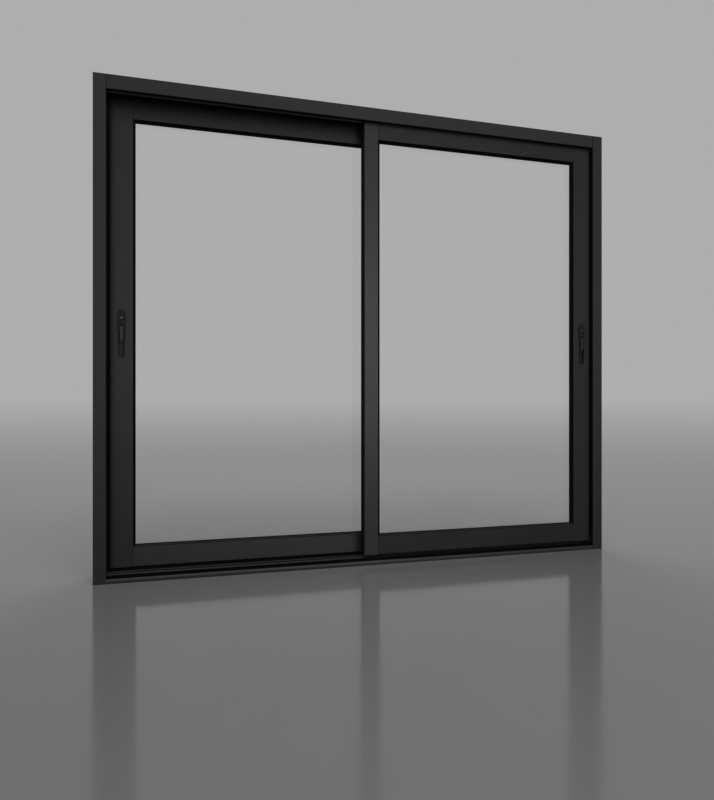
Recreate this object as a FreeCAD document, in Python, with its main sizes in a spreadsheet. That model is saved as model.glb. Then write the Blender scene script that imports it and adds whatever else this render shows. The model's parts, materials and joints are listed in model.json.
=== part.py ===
import FreeCAD, Part
import os
import re
import Sketcher

# Horizontal sliding window: an extruded aluminium frame with two glazed sashes, one behind the other.
# Millimetres. +X is to the right, +Y is away from the room, +Z is up.
# The origin is on the floor line, in the middle of the sill.

# Driving dimensions
SIZES = {
    # the frame
    "frame_width": 1800,
    "frame_height": 1560,
    "frame_depth": 132,
    "frame_wall": 2.5,
    "jamb_face": 38,
    "jamb_box": 20,
    "head_face": 44,
    "head_box": 20,
    "sill_lip": 13,
    "lip_thickness": 8,
    "lip_round": 6,
    "sill_base": 10,
    "guide_thickness": 3,
    "fixing_hole": 8,
    "fixing_inset": 300,
    "edge_break": 1.6,
    "guide_edge": 0.8,
    # the tracks
    "track_spacing": 56,
    "track_top": 28.5,
    "track_width": 9,
    "track_cap": 5,
    "track_fin": 6.5,
    "track_flare": 3,
    "track_foot": 2,
    "track_round": 3,
    "track_end_gap": 0.3,
    "running_gap": 5.5,
    # the sashes and where they sit in the frame
    "sash_gap": 5,
    "sash_overlap": 68,
    "sash_thickness": 44,
    "sash_wall": 2,
    "sash_lift": 2.5,
    "head_cover": 18,
    "head_engagement": 14,
    "jamb_engagement": 4,
    "groove_end_gap": 8,
    "outer_stile_face": 70,
    "meeting_stile_face": 50,
    "top_rail_face": 75,
    "bottom_rail_face": 63,
    "channel_height": 42,
    # the glazing
    "glass_setback": 18,
    "glass_thickness": 5,
    "glass_space": 6,
    "glass_bite": 14,
    "pocket_depth": 18,
    "rear_leg_drop": 12,
    "gasket_thickness": 3,
    "gasket_lip": 0.8,
    "bead_width": 5.5,
    "rear_bead_width": 6,
    "bead_lip": 1,
    "bead_depth": 6,
    "bead_slope": 4,
    "spacer_inset": 2,
    "spacer_width": 8,
    # the rollers
    "roller_inset": 90,
    "roller_gap": 0.3,
    "tread_radius": 14,
    "flange_height": 3,
    "wheel_width": 15,
    "wheel_side_gap": 0.5,
    "axle_radius": 3,
    "axle_gap": 0.2,
    "housing_length": 90,
    "housing_height": 36,
    "housing_wall": 3,
    "housing_side_gap": 0.3,
    # the interlocks between the meeting stiles
    "interlock_gap": 6,
    "interlock_reach": 7,
    "interlock_leg": 2.5,
    "interlock_base": 22,
    "interlock_sheet": 2,
    # the handles
    "handle_level": 774,
    "handle_length": 154,
    "handle_width": 27,
    "handle_foot_width": 20,
    "plate_thickness": 3,
    "recess_width": 17,
    "recess_foot_width": 14,
    "recess_length": 103,
    "recess_depth": 12,
    "recess_drop": 22.5,
    "cup_wall": 1.5,
    "mortise_gap": 0.5,
    "lever_length": 50,
    "lever_width": 12,
    "lever_foot_width": 8,
    "lever_thickness": 3,
    "lever_proud": 1.5,
    "boss_radius": 4,
    "indicator_rise": 51,
    "indicator_radius": 2.6,
    "indicator_thickness": 0.6,
}

# Places and sizes that follow from the driving dimensions
DERIVED = {
    "jamb_inner_x": "frame_width / 2 - jamb_box",
    "jamb_tip_x": "frame_width / 2 - jamb_face",
    "front_y": "-frame_depth / 2",
    "front_track_y": "-track_spacing / 2",
    "sash_outer_x": "jamb_tip_x - sash_gap",
    "sash_meeting_x": "-sash_overlap / 2",
    "outer_inner_x": "sash_outer_x - outer_stile_face",
    "meeting_inner_x": "sash_meeting_x + meeting_stile_face",
    "sash_bottom_z": "track_top + sash_lift",
    "sash_top_z": "frame_height - head_face + head_cover",
    "sash_height": "sash_top_z - sash_bottom_z",
    "bottom_rail_z": "sash_bottom_z + bottom_rail_face",
    "top_rail_z": "sash_top_z - top_rail_face",
    "sash_front_y": "front_track_y - sash_thickness / 2",
    "sash_back_y": "front_track_y + sash_thickness / 2",
    "head_rib_z": "sash_top_z - head_engagement",
    "fin_tip": "jamb_face + sash_gap + jamb_engagement",
    "fin_bottom_z": "track_top + running_gap",
    "fin_top_z": "head_rib_z - running_gap",
    "groove_half": "guide_thickness / 2 + running_gap",
    "jamb_groove_depth": "jamb_engagement + groove_end_gap",
    "head_groove_depth": "head_engagement + running_gap",
    "track_half": "track_width / 2",
    "track_notch_half": "track_half + running_gap",
    "track_notch_height": "running_gap - sash_lift",
    "front_leg": "glass_setback - gasket_thickness",
    "unit_back": "glass_setback + 2 * glass_thickness + glass_space",
    "rear_leg": "unit_back + gasket_thickness",
    "track_foot_half": "track_half + track_flare",
    "axle_z": "track_top + roller_gap + tread_radius",
    "channel_top_z": "sash_bottom_z + channel_height",
    "wheel_groove_half": "track_half + wheel_side_gap",
    "housing_half": "sash_thickness / 2 - sash_wall - housing_side_gap",
    "outer_stile_x": "sash_outer_x - outer_stile_face / 2",
    "recess_low_z": "handle_level - recess_drop - recess_length / 2",
    "recess_foot_z": "recess_low_z + recess_foot_width / 2",
    "recess_crown_z": "recess_low_z + recess_length - recess_width / 2",
    "lever_crown_z": "handle_level + lever_length / 2 - lever_width / 2",
    "cup_half": "recess_width / 2 + cup_wall",
    "cup_foot_half": "recess_foot_width / 2 + cup_wall",
}

doc = FreeCAD.newDocument("sliding_window")
sheet = doc.addObject("Spreadsheet::Sheet", "Sizes")
for row, (name, size) in enumerate(SIZES.items(), start=1):
    sheet.set(f"A{row}", name)
    sheet.set(f"B{row}", str(size))
    sheet.setAlias(f"B{row}", name)
doc.recompute()

UPRIGHT = FreeCAD.Vector(0, 0, 1)
nodes = []


def formula(text):
    """Write an expression in the sheet's terms, with derived names worked out in brackets."""

    def swap(match):
        word = match.group()
        if word in DERIVED:
            return "(" + formula(DERIVED[word]) + ")"
        return "Sizes." + word

    return re.sub(r"[a-z_]{2,}", swap, text)


def bind(thing, prop, text):
    thing.setExpression(prop, formula(text))


def number(thing, text):
    """The present value of an expression, used to start a sketch near its solution."""
    return float(thing.evalExpression(formula(text)))


def node(thing):
    """Mark an object as one sub-part of the window."""
    nodes.append(thing)
    return thing


def new_body(label, turned=False):
    """A turned body is built as on the front sash and turned half round about the upright axis."""
    body = doc.addObject("PartDesign::Body", label)
    body.Label = label
    if turned:
        body.Placement = FreeCAD.Placement(FreeCAD.Vector(), FreeCAD.Rotation(UPRIGHT, 180))
    return body


def new_sketch(body, plane, offset):
    sketch = body.newObject("Sketcher::SketchObject", body.Label + "_sketch")
    support = [face for face in body.Origin.OriginFeatures if face.Role == plane][0]
    sketch.AttachmentSupport = (support, [""])
    sketch.MapMode = "FlatFace"
    bind(sketch, "AttachmentOffset.Base.z", offset)
    return sketch


def hold(sketch, geometry, point, x, y):
    """Dimension one point of the sketch from its origin."""
    for kind, text in (("DistanceX", x), ("DistanceY", y)):
        size = number(sketch, text)
        index = sketch.addConstraint(Sketcher.Constraint(kind, -1, 1, geometry, point, size))
        bind(sketch, f"Constraints[{index}]", text)


def draw_outline(sketch, corners):
    """A closed outline of straight edges, each corner dimensioned from the origin."""
    first = sketch.GeometryCount
    count = len(corners)
    points = [FreeCAD.Vector(number(sketch, x), number(sketch, y), 0) for x, y in corners]
    edges = [Part.LineSegment(points[i], points[(i + 1) % count]) for i in range(count)]
    sketch.addGeometry(edges, False)
    joins = [Sketcher.Constraint("Coincident", first + i - 1, 2, first + i, 1) for i in range(1, count)]
    joins.append(Sketcher.Constraint("Coincident", first + count - 1, 2, first, 1))
    sketch.addConstraint(joins)
    for i, (x, y) in enumerate(corners):
        hold(sketch, first + i, 1, x, y)


def rectangle(left, right, low, high):
    return [(left, low), (right, low), (right, high), (left, high)]


def draw_circle(sketch, x, y, radius):
    centre = FreeCAD.Vector(number(sketch, x), number(sketch, y), 0)
    circle = sketch.addGeometry(Part.Circle(centre, UPRIGHT, number(sketch, radius)), False)
    hold(sketch, circle, 3, x, y)
    index = sketch.addConstraint(Sketcher.Constraint("Radius", circle, number(sketch, radius)))
    bind(sketch, f"Constraints[{index}]", radius)


def draw_capsule(sketch, x, low, high, low_radius, high_radius):
    """An upright outline with a half circle at each end and straight sides."""
    half_turn = 3.141592653589793
    ends = []
    for y, radius, start in ((low, low_radius, half_turn), (high, high_radius, 0)):
        centre = FreeCAD.Vector(number(sketch, x), number(sketch, y), 0)
        circle = Part.Circle(centre, UPRIGHT, number(sketch, radius))
        arc = sketch.addGeometry(Part.ArcOfCircle(circle, start, start + half_turn), False)
        hold(sketch, arc, 3, x, y)
        index = sketch.addConstraint(Sketcher.Constraint("Radius", arc, number(sketch, radius)))
        bind(sketch, f"Constraints[{index}]", radius)
        for tip in (1, 2):
            sketch.addConstraint(Sketcher.Constraint("Horizontal", arc, tip, arc, 3))
        ends.append(arc)
    for start, finish in ((ends[0], ends[1]), (ends[1], ends[0])):
        start_point = sketch.getPoint(start, 2)
        finish_point = sketch.getPoint(finish, 1)
        side = sketch.addGeometry(Part.LineSegment(start_point, finish_point), False)
        sketch.addConstraint(Sketcher.Constraint("Coincident", start, 2, side, 1))
        sketch.addConstraint(Sketcher.Constraint("Coincident", side, 2, finish, 1))


def pad(body, sketch, length):
    feature = body.newObject("PartDesign::Pad", body.Label + "_pad")
    feature.Profile = sketch
    bind(feature, "Length", length)
    return feature


def pocket(body, sketch, length, towards_normal=False):
    """A pocket cuts against the sketch's normal unless it is told otherwise."""
    feature = body.newObject("PartDesign::Pocket", body.Label + "_pocket")
    feature.Profile = sketch
    feature.Reversed = towards_normal
    bind(feature, "Length", length)
    return feature


def pad_outlines(body, plane, offset, length, outlines):
    sketch = new_sketch(body, plane, offset)
    for outline in outlines:
        draw_outline(sketch, outline)
    return pad(body, sketch, length)


def cut_outlines(body, plane, offset, length, outlines, towards_normal=False):
    sketch = new_sketch(body, plane, offset)
    for outline in outlines:
        draw_outline(sketch, outline)
    return pocket(body, sketch, length, towards_normal)


def group(label, members):
    compound = doc.addObject("Part::Compound", label)
    compound.Label = label
    compound.Links = members
    return node(compound)


# The frame

def chamber_outlines(low, high):
    """Three hollows across the frame's depth, with a web under each track."""
    front_web = "front_track_y - guide_thickness / 2"
    front_web_back = "front_track_y + guide_thickness / 2"
    rear_web = "guide_thickness / 2 - front_track_y"
    rear_web_front = "-guide_thickness / 2 - front_track_y"
    return [
        ("front_y + frame_wall", front_web, low, high),
        (front_web_back, rear_web_front, low, high),
        (rear_web, "-front_y - frame_wall", low, high),
    ]


def make_jamb(label, turned):
    """Full-height upright: a hollow box with a front and a rear flange."""
    outer = "-frame_width / 2"
    box = "-jamb_inner_x"
    tip = "-jamb_tip_x"
    inside = "front_y + frame_wall"
    body = new_body(label, turned)
    outline = [
        (outer, "front_y"), (f"{tip} - edge_break", "front_y"), (tip, "front_y + edge_break"), (tip, inside),
        (box, inside), (box, "-front_y - frame_wall"), (tip, "-front_y - frame_wall"),
        (tip, "-front_y - edge_break"), (f"{tip} - edge_break", "-front_y"), (outer, "-front_y"),
    ]
    chambers = [
        rectangle(outer + " + frame_wall", box + " - frame_wall", low, high)
        for low, high, _, _ in chamber_outlines("", "")
    ]
    pad_outlines(body, "XY_Plane", "0", "frame_height", [outline] + chambers)
    holes = new_sketch(body, "YZ_Plane", box)
    for z in ("fixing_inset", "frame_height - fixing_inset"):
        draw_circle(holes, "0", z, "fixing_hole / 2")
    pocket(body, holes, "jamb_box")
    return node(body)


def guide_outline(track, foot, tip, back):
    """Section of a guide strip, from its foot on the frame to its chamfered tip."""
    near = f"{track} - guide_thickness / 2"
    far = f"{track} + guide_thickness / 2"
    return [
        (near, foot), (near, f"{tip} {back} guide_edge"), (f"{near} + guide_edge", tip),
        (f"{far} - guide_edge", tip), (far, f"{tip} {back} guide_edge"), (far, foot),
    ]


def make_jamb_guide(label, turned, track):
    """Guide strip on a jamb that a sash's outer stile closes over."""
    body = new_body(label, turned)
    foot = "-jamb_inner_x"
    tip = "fin_tip - frame_width / 2"
    outline = [corner[::-1] for corner in guide_outline(track, foot, tip, "-")]
    pad_outlines(body, "XY_Plane", "fin_bottom_z", "fin_top_z - fin_bottom_z", [outline])
    return body


def make_jamb_guides(label, turned):
    """The front and the rear guide strip of one jamb."""
    tracks = {"front": "front_track_y", "rear": "-front_track_y"}
    group(label, [make_jamb_guide(f"{label}_{place}", turned, track) for place, track in tracks.items()])


def cope(body, top, depth):
    """Cut the front and rear faces back at both ends, so that they pass behind the jambs' flanges."""
    corners = []
    for left, right in (("-frame_width / 2", "-jamb_tip_x"), ("jamb_tip_x", "frame_width / 2")):
        corners.append(rectangle(left, right, "front_y", "front_y + frame_wall"))
        corners.append(rectangle(left, right, "-front_y - frame_wall", "-front_y"))
    cut_outlines(body, "XY_Plane", top, depth, corners)


def make_head():
    """Top member: a hollow box with a front and a rear flange."""
    body = new_body("head")
    top = "frame_height"
    box = "frame_height - head_box"
    tip = "frame_height - head_face"
    outline = [
        ("front_y", top), ("front_y", f"{tip} + edge_break"), ("front_y + edge_break", tip),
        ("front_y + frame_wall", tip), ("front_y + frame_wall", box), ("-front_y - frame_wall", box),
        ("-front_y - frame_wall", tip), ("-front_y - edge_break", tip), ("-front_y", f"{tip} + edge_break"),
        ("-front_y", top),
    ]
    chambers = [
        rectangle(*hollow) for hollow in chamber_outlines(box + " + frame_wall", top + " - frame_wall")
    ]
    pad_outlines(body, "YZ_Plane", "-jamb_inner_x", "2 * jamb_inner_x", [outline] + chambers)
    cope(body, top, "head_face")
    return node(body)


def make_head_guide(label, track):
    """Guide strip under the head that runs in the groove of a sash's top rail."""
    body = new_body(label)
    outline = guide_outline(track, "frame_height - head_box", "head_rib_z", "+")
    pad_outlines(body, "YZ_Plane", "-jamb_inner_x", "2 * jamb_inner_x", [outline])
    return node(body)


def level_edges(feature, height, least_depth):
    """Names of the long level edges at a height, at least so far in front of or behind the middle."""
    names = []
    for index, edge in enumerate(feature.Shape.Edges, start=1):
        box = edge.BoundBox
        along = box.XLength > box.YLength
        if along and abs(box.ZMin - height) < 0.01 and abs(box.YMin) > least_depth:
            names.append(f"Edge{index}")
    return names


def round_edges(body, feature, names, radius):
    rounding = body.newObject("PartDesign::Fillet", body.Label + "_round")
    rounding.Base = (feature, names)
    bind(rounding, "Radius", radius)


def make_sill():
    """Bottom member: a hollow base, rounded lips and a stem that carries each track rail."""
    body = new_body("sill")
    half = "guide_thickness / 2"
    stem = "track_top - track_cap"
    lip_back = "front_y + lip_thickness"
    outline = [
        ("front_y", "0"), ("-front_y", "0"), ("-front_y", "sill_lip"), (f"-({lip_back})", "sill_lip"),
        (f"-({lip_back})", "sill_base"), (f"-front_track_y + {half}", "sill_base"),
        (f"-front_track_y + {half}", stem), (f"-front_track_y - {half}", stem),
        (f"-front_track_y - {half}", "sill_base"), (f"front_track_y + {half}", "sill_base"),
        (f"front_track_y + {half}", stem), (f"front_track_y - {half}", stem),
        (f"front_track_y - {half}", "sill_base"), (lip_back, "sill_base"),
        (lip_back, "sill_lip"), ("front_y", "sill_lip"),
    ]
    chambers = [rectangle(*hollow) for hollow in chamber_outlines("frame_wall", "sill_base - frame_wall")]
    base = pad_outlines(body, "YZ_Plane", "-jamb_inner_x", "2 * jamb_inner_x", [outline] + chambers)
    doc.recompute()
    outermost = -number(body, "front_y + lip_thickness / 2")
    round_edges(body, base, level_edges(base, number(body, "sill_lip"), outermost), "lip_round")
    cope(body, "sill_lip", "sill_lip")
    return node(body)


def make_track_rail(label, track):
    """Rail that clips over a stem of the sill: a fin with a rounded running edge and a flared foot."""
    body = new_body(label)
    half = "guide_thickness / 2"
    slot = "track_top - track_cap"
    fin = "track_top - track_fin"
    flare = f"{fin} - track_flare"
    low = f"{flare} - track_foot"
    outline = [
        (f"{track} - track_foot_half", low), (f"{track} - {half}", low), (f"{track} - {half}", slot),
        (f"{track} + {half}", slot), (f"{track} + {half}", low), (f"{track} + track_foot_half", low),
        (f"{track} + track_foot_half", flare), (f"{track} + track_half", fin),
        (f"{track} + track_half", "track_top"), (f"{track} - track_half", "track_top"),
        (f"{track} - track_half", fin), (f"{track} - track_foot_half", flare),
    ]
    length = "2 * (jamb_inner_x - track_end_gap)"
    rail = pad_outlines(body, "YZ_Plane", "track_end_gap - jamb_inner_x", length, [outline])
    doc.recompute()
    round_edges(body, rail, level_edges(rail, number(body, "track_top"), 0), "track_round")
    return node(body)


# The sashes. Each is drawn as the front sash, whose meeting stile is on the left.

def depth_y(depth, turned):
    """Where a depth behind the sash's room face lies; a turned sash is drawn with that face at the back."""
    if turned:
        return f"sash_back_y - ({depth})"
    return f"sash_front_y + ({depth})"


def section_across(face_from, direction, face, turned):
    """Outline of a sash profile: a long front leg and a shorter rear leg on either side of the glass.

    The first value of each corner runs from the outer edge towards the glass.
    """
    rear_face = f"{face} - rear_leg_drop"
    pocket_floor = f"{face} - pocket_depth"
    outline = [
        ("0", "edge_break"), ("edge_break", "0"), (f"{face} - edge_break", "0"), (face, "edge_break"),
        (face, "front_leg"), (pocket_floor, "front_leg"), (pocket_floor, "rear_leg"), (rear_face, "rear_leg"),
        (rear_face, "sash_thickness - edge_break"), (f"{rear_face} - edge_break", "sash_thickness"),
        ("edge_break", "sash_thickness"), ("0", "sash_thickness - edge_break"),
    ]
    return place_section(face_from, direction, outline, turned)


def hollow_across(face_from, direction, face, turned, groove):
    """Hollow of a sash profile, one wall inside its outline and round its guide groove, if it has one."""
    front = "sash_wall"
    back = "sash_thickness - sash_wall"
    leg = f"{face} - sash_wall"
    rear_leg = f"{face} - rear_leg_drop - sash_wall"
    floor = f"{face} - pocket_depth - sash_wall"
    hollow = [
        ("sash_wall", front), (leg, front), (leg, "front_leg - sash_wall"), (floor, "front_leg - sash_wall"),
        (floor, "rear_leg + sash_wall"), (rear_leg, "rear_leg + sash_wall"), (rear_leg, back), ("sash_wall", back),
    ]
    if groove:
        near = "sash_thickness / 2 - groove_half - sash_wall"
        far = "sash_thickness / 2 + groove_half + sash_wall"
        deep = f"{groove} + sash_wall"
        hollow += [("sash_wall", far), (deep, far), (deep, near), ("sash_wall", near)]
    return place_section(face_from, direction, hollow, turned)


def place_section(face_from, direction, corners, turned):
    return [(f"{face_from} {direction} ({a})", depth_y(b, turned)) for a, b in corners]


def groove_section(face_from, direction, half, depth, turned):
    """A groove along the middle of a profile's outer edge."""
    near = f"sash_thickness / 2 - ({half})"
    far = f"sash_thickness / 2 + {half}"
    corners = [("0", near), (depth, near), (depth, far), ("0", far)]
    return place_section(face_from, direction, corners, turned)


def swap_axes(loop):
    """Exchange the two values of every corner, for a profile whose outer edge is level."""
    return [(b, a) for a, b in loop]


def notch_stile(body, end_x):
    """Open the stile's foot over the track rail and its top under the head's guide strip."""
    width = "sash_outer_x - sash_meeting_x"
    foot = rectangle(
        "front_track_y - track_notch_half", "front_track_y + track_notch_half",
        "sash_bottom_z", "sash_bottom_z + track_notch_height",
    )
    crown = rectangle(
        "front_track_y - groove_half", "front_track_y + groove_half",
        "sash_top_z - head_groove_depth", "sash_top_z",
    )
    cut_outlines(body, "YZ_Plane", end_x, width, [foot, crown])


def pad_rail(body, loops):
    """A rail's length: its rear part runs on past its front leg, up to the stiles' shorter rear legs."""
    start = "meeting_inner_x - rear_leg_drop"
    end = "outer_inner_x + rear_leg_drop"
    pad_outlines(body, "YZ_Plane", start, f"{end} - ({start})", [swap_axes(loop) for loop in loops])


def trim_rail(body, turned, groove):
    """Cut a rail's groove along its length, and its front leg back between the stiles."""
    start = "meeting_inner_x - rear_leg_drop"
    end = "outer_inner_x + rear_leg_drop"
    cut_outlines(body, "YZ_Plane", end, f"{end} - ({start})", [swap_axes(groove)])
    front = rectangle(depth_y("0", turned), depth_y("front_leg", turned), "sash_bottom_z", "sash_top_z")
    cut_outlines(body, "YZ_Plane", "meeting_inner_x", "rear_leg_drop", [front])
    cut_outlines(body, "YZ_Plane", end, "rear_leg_drop", [front])


def make_outer_stile(sash, turned):
    """Stile at the jamb: a groove for the jamb's guide strip, and a mortise behind the handle."""
    body = new_body(f"{sash}_outer_stile", turned)
    edge = ("sash_outer_x", "-")
    outline = section_across(*edge, "outer_stile_face", turned)
    hollow = hollow_across(*edge, "outer_stile_face", turned, "jamb_groove_depth")
    pad_outlines(body, "XY_Plane", "sash_bottom_z", "sash_height", [outline, hollow])
    groove = groove_section(*edge, "groove_half", "jamb_groove_depth", turned)
    cut_outlines(body, "XY_Plane", "sash_top_z", "sash_height", [groove])
    notch_stile(body, "sash_outer_x")
    face = "-sash_back_y" if turned else "-sash_front_y"
    mortise = new_sketch(body, "XZ_Plane", face)
    draw_capsule(
        mortise, "outer_stile_x", "recess_foot_z", "recess_crown_z",
        "cup_foot_half + mortise_gap", "cup_half + mortise_gap",
    )
    pocket(body, mortise, "sash_wall", towards_normal=turned)
    return node(body)


def make_meeting_stile(sash, turned):
    """Slim stile that overlaps the other sash in the middle of the window."""
    body = new_body(f"{sash}_meeting_stile", turned)
    edge = ("sash_meeting_x", "+")
    outline = section_across(*edge, "meeting_stile_face", turned)
    hollow = hollow_across(*edge, "meeting_stile_face", turned, None)
    pad_outlines(body, "XY_Plane", "sash_bottom_z", "sash_height", [outline, hollow])
    notch_stile(body, "meeting_inner_x")
    return node(body)


def make_top_rail(sash, turned):
    """Rail between the stiles, grooved for the head's guide strip."""
    body = new_body(f"{sash}_top_rail", turned)
    edge = ("sash_top_z", "-")
    outline = section_across(*edge, "top_rail_face", turned)
    hollow = hollow_across(*edge, "top_rail_face", turned, "head_groove_depth")
    pad_rail(body, [outline, hollow])
    trim_rail(body, turned, groove_section(*edge, "groove_half", "head_groove_depth", turned))
    return node(body)


def make_bottom_rail(sash, turned):
    """Rail between the stiles, open below for the rollers and the track, hollow in its front leg."""
    body = new_body(f"{sash}_bottom_rail", turned)
    edge = ("sash_bottom_z", "+")
    outline = section_across(*edge, "bottom_rail_face", turned)
    low = "channel_height + sash_wall"
    high = "bottom_rail_face - sash_wall"
    leg = [(low, "sash_wall"), (high, "sash_wall"), (high, "front_leg - sash_wall"), (low, "front_leg - sash_wall")]
    hollow = place_section(*edge, leg, turned)
    pad_rail(body, [outline, hollow])
    channel_half = "(sash_thickness / 2 - sash_wall)"
    trim_rail(body, turned, groove_section(*edge, channel_half, "channel_height", turned))
    return node(body)


def make_interlock(sash, turned):
    """Angle strip on the meeting stile, whose leg hooks against the other sash's leg."""
    body = new_body(f"{sash}_interlock", turned)
    tip = "-interlock_gap / 2"
    back = "sash_back_y"
    outline = [
        (f"{tip} - interlock_base", back), (tip, back), (tip, f"{back} + interlock_reach"),
        (f"{tip} - interlock_leg", f"{back} + interlock_reach"),
        (f"{tip} - interlock_leg", f"{back} + interlock_sheet"),
        (f"{tip} - interlock_base", f"{back} + interlock_sheet"),
    ]
    pad_outlines(body, "XY_Plane", "sash_bottom_z", "sash_height", [outline])
    return node(body)


def opening(inset):
    """Rectangle round the glazed opening, moved inwards from the stiles and rails by inset."""
    return rectangle(
        f"meeting_inner_x + ({inset})", f"outer_inner_x - ({inset})",
        f"bottom_rail_z + ({inset})", f"top_rail_z - ({inset})",
    )


def make_ring(label, turned, near, far, outer, inner):
    """A mitred ring round the glazed opening, between two depths behind the room face."""
    body = new_body(label, turned)
    back = depth_y(near if turned else far, turned)
    pad_outlines(body, "XZ_Plane", f"-({back})", f"{far} - ({near})", [opening(outer), opening(inner)])
    return body


def slope_bead(body, turned, face, inner_depth, face_inset, inset):
    """Cut the bead's edge back to a slope, from the face in towards the glass."""
    mouth = new_sketch(body, "XZ_Plane", f"-({depth_y(face, turned)})")
    draw_outline(mouth, opening(face_inset))
    throat = new_sketch(body, "XZ_Plane", f"-({depth_y(inner_depth, turned)})")
    draw_outline(throat, opening(inset))
    slope = body.newObject("PartDesign::SubtractiveLoft", body.Label + "_slope")
    slope.Profile = mouth
    slope.Sections = [throat]
    slope.Ruled = True


def make_pane(label, turned, near):
    body = new_body(label, turned)
    far = f"{near} + glass_thickness"
    back = depth_y(near if turned else far, turned)
    pad_outlines(body, "XZ_Plane", f"-({back})", "glass_thickness", [opening("-glass_bite")])
    return node(body)


def make_glazing(sash, turned):
    """Sealed unit of two panes and a spacer, held by a gasket and a bead on each side.

    The room side has a shallow bead over a deep wedge gasket.
    """
    tip = "bead_width"
    front_bead = make_ring(f"{sash}_front_bead", turned, "0", "bead_depth", "0", tip)
    slope_bead(front_bead, turned, "0", "bead_slope", "bead_lip", tip)
    node(front_bead)
    rear_seat = "-rear_leg_drop"
    rear_tip = f"{rear_seat} + rear_bead_width"
    rear_bead = make_ring(f"{sash}_rear_bead", turned, "rear_leg", "sash_thickness", rear_seat, rear_tip)
    slope_bead(
        rear_bead, turned, "sash_thickness", "sash_thickness - bead_slope", f"{rear_seat} + bead_lip", rear_tip,
    )
    node(rear_bead)
    node(make_ring(f"{sash}_front_gasket", turned, "bead_depth", "glass_setback", "0", f"{tip} + gasket_lip"))
    node(make_ring(f"{sash}_rear_gasket", turned, "unit_back", "rear_leg", rear_seat, f"{rear_tip} + gasket_lip"))
    make_pane(f"{sash}_front_pane", turned, "glass_setback")
    make_pane(f"{sash}_rear_pane", turned, "unit_back - glass_thickness")
    edge = "spacer_inset - glass_bite"
    near = "glass_setback + glass_thickness"
    node(make_ring(f"{sash}_pane_spacer", turned, near, f"{near} + glass_space", edge, f"{edge} + spacer_width"))


def make_housing(label, turned, middle_x):
    """Roller carriage in the bottom rail's channel: a bent channel with an axle across it."""
    body = new_body(label, turned)
    low = "channel_top_z - housing_height"
    under = "channel_top_z - housing_wall"
    inner = "housing_half - housing_wall"
    outline = [
        ("-housing_half", low), (f"-({inner})", low), (f"-({inner})", under), (inner, under),
        (inner, low), ("housing_half", low), ("housing_half", "channel_top_z"), ("-housing_half", "channel_top_z"),
    ]
    outline = [(f"front_track_y + ({a})", b) for a, b in outline]
    pad_outlines(body, "YZ_Plane", f"{middle_x} - housing_length / 2", "housing_length", [outline])
    axle = new_sketch(body, "XZ_Plane", "-(front_track_y + housing_half)")
    draw_circle(axle, middle_x, "axle_z", "axle_radius")
    pad(body, axle, "2 * housing_half")
    return body


def make_wheel(label, turned, middle_x):
    """Grooved roller: two flanges straddle the track rail and the tread runs on top of it."""
    body = new_body(label, turned)
    bore = "axle_radius + axle_gap"
    side = "wheel_width / 2"
    rim = "tread_radius + flange_height"
    flank = "(wheel_groove_half + wheel_width / 2) / 2"
    groove = "wheel_groove_half"
    profile = [
        (f"-({side})", bore), (side, bore), (side, rim), (flank, rim), (groove, "tread_radius"),
        (f"-({groove})", "tread_radius"), (f"-({flank})", rim), (f"-({side})", rim),
    ]
    sketch = new_sketch(body, "YZ_Plane", "0")
    draw_outline(sketch, profile)
    turning = body.newObject("PartDesign::Revolution", label + "_turning")
    turning.Profile = sketch
    turning.ReferenceAxis = (sketch, ["H_Axis"])
    turning.Angle = 360
    sign = "-1 * " if turned else ""
    bind(body, "Placement.Base.x", f"{sign}({middle_x})")
    bind(body, "Placement.Base.y", f"{sign}front_track_y")
    bind(body, "Placement.Base.z", "axle_z")
    return body


def make_rollers(sash, turned):
    """A carriage and a wheel near each end of the bottom rail."""
    places = {"inner": "meeting_inner_x + roller_inset", "outer": "outer_inner_x - roller_inset"}
    housings = [make_housing(f"{sash}_{end}_housing", turned, x) for end, x in places.items()]
    wheels = [make_wheel(f"{sash}_{end}_wheel", turned, x) for end, x in places.items()]
    group(f"{sash}_roller_housings", housings)
    group(f"{sash}_roller_wheels", wheels)


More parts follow.
